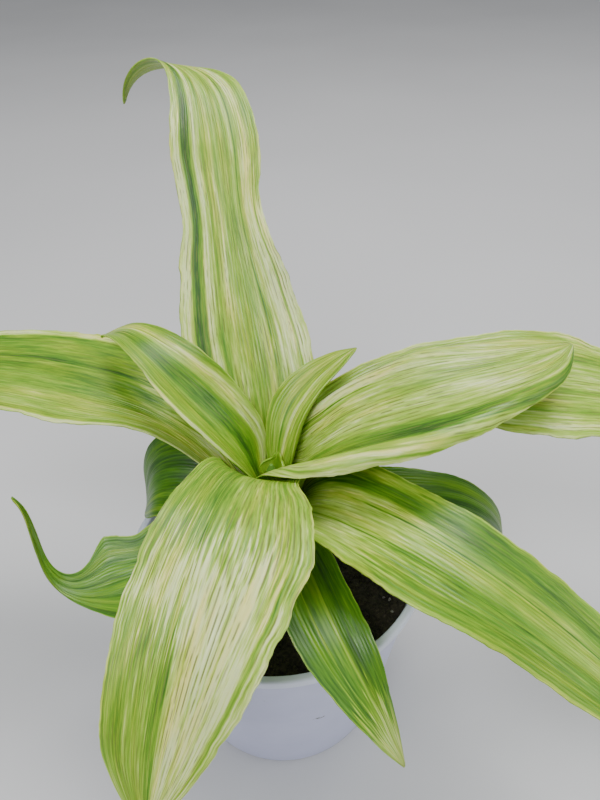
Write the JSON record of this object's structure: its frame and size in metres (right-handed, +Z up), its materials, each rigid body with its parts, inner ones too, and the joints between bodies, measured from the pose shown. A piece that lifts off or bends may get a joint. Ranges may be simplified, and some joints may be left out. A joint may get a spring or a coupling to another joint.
{
  "type": "potted callisia",
  "caption": "Rosette house plant with long striped strap leaves, growing from soil in a plain tapered round pot.",
  "frame": {"origin": "centre of the pot's flat base, on the surface that the pot stands on", "axes": "+Z up along the pot's axis, +Y to the back where the tall leaf stands, +X to the right along the two longest leaves"},
  "size_m": [0.3615, 0.2215, 0.2326],
  "materials": {
    "pot": "smooth white plastic with a soft sheen",
    "soil": "dark damp potting soil with a few pale grains",
    "stem": "pale green fleshy stem",
    "leaf_cream": "satin cream and yellow-green leaf with long green stripes",
    "leaf_green": "satin dark green leaf with a few pale stripes"
  },
  "bodies": {
    "root": {"pot": "pot", "soil": "soil", "stem": "stem", "leaf_back_upright": "leaf_cream", "leaf_left_long": "leaf_cream", "leaf_right_long": "leaf_cream", "leaf_front_right": "leaf_cream", "leaf_front": "leaf_cream", "leaf_upper_left": "leaf_cream", "leaf_upper_right": "leaf_cream", "leaf_inner": "leaf_cream", "leaf_bud": "leaf_cream", "leaf_low_front": "leaf_green", "leaf_low_left": "leaf_green", "leaf_low_back_left": "leaf_green", "leaf_low_right": "leaf_green"}
  },
  "joints": []
}
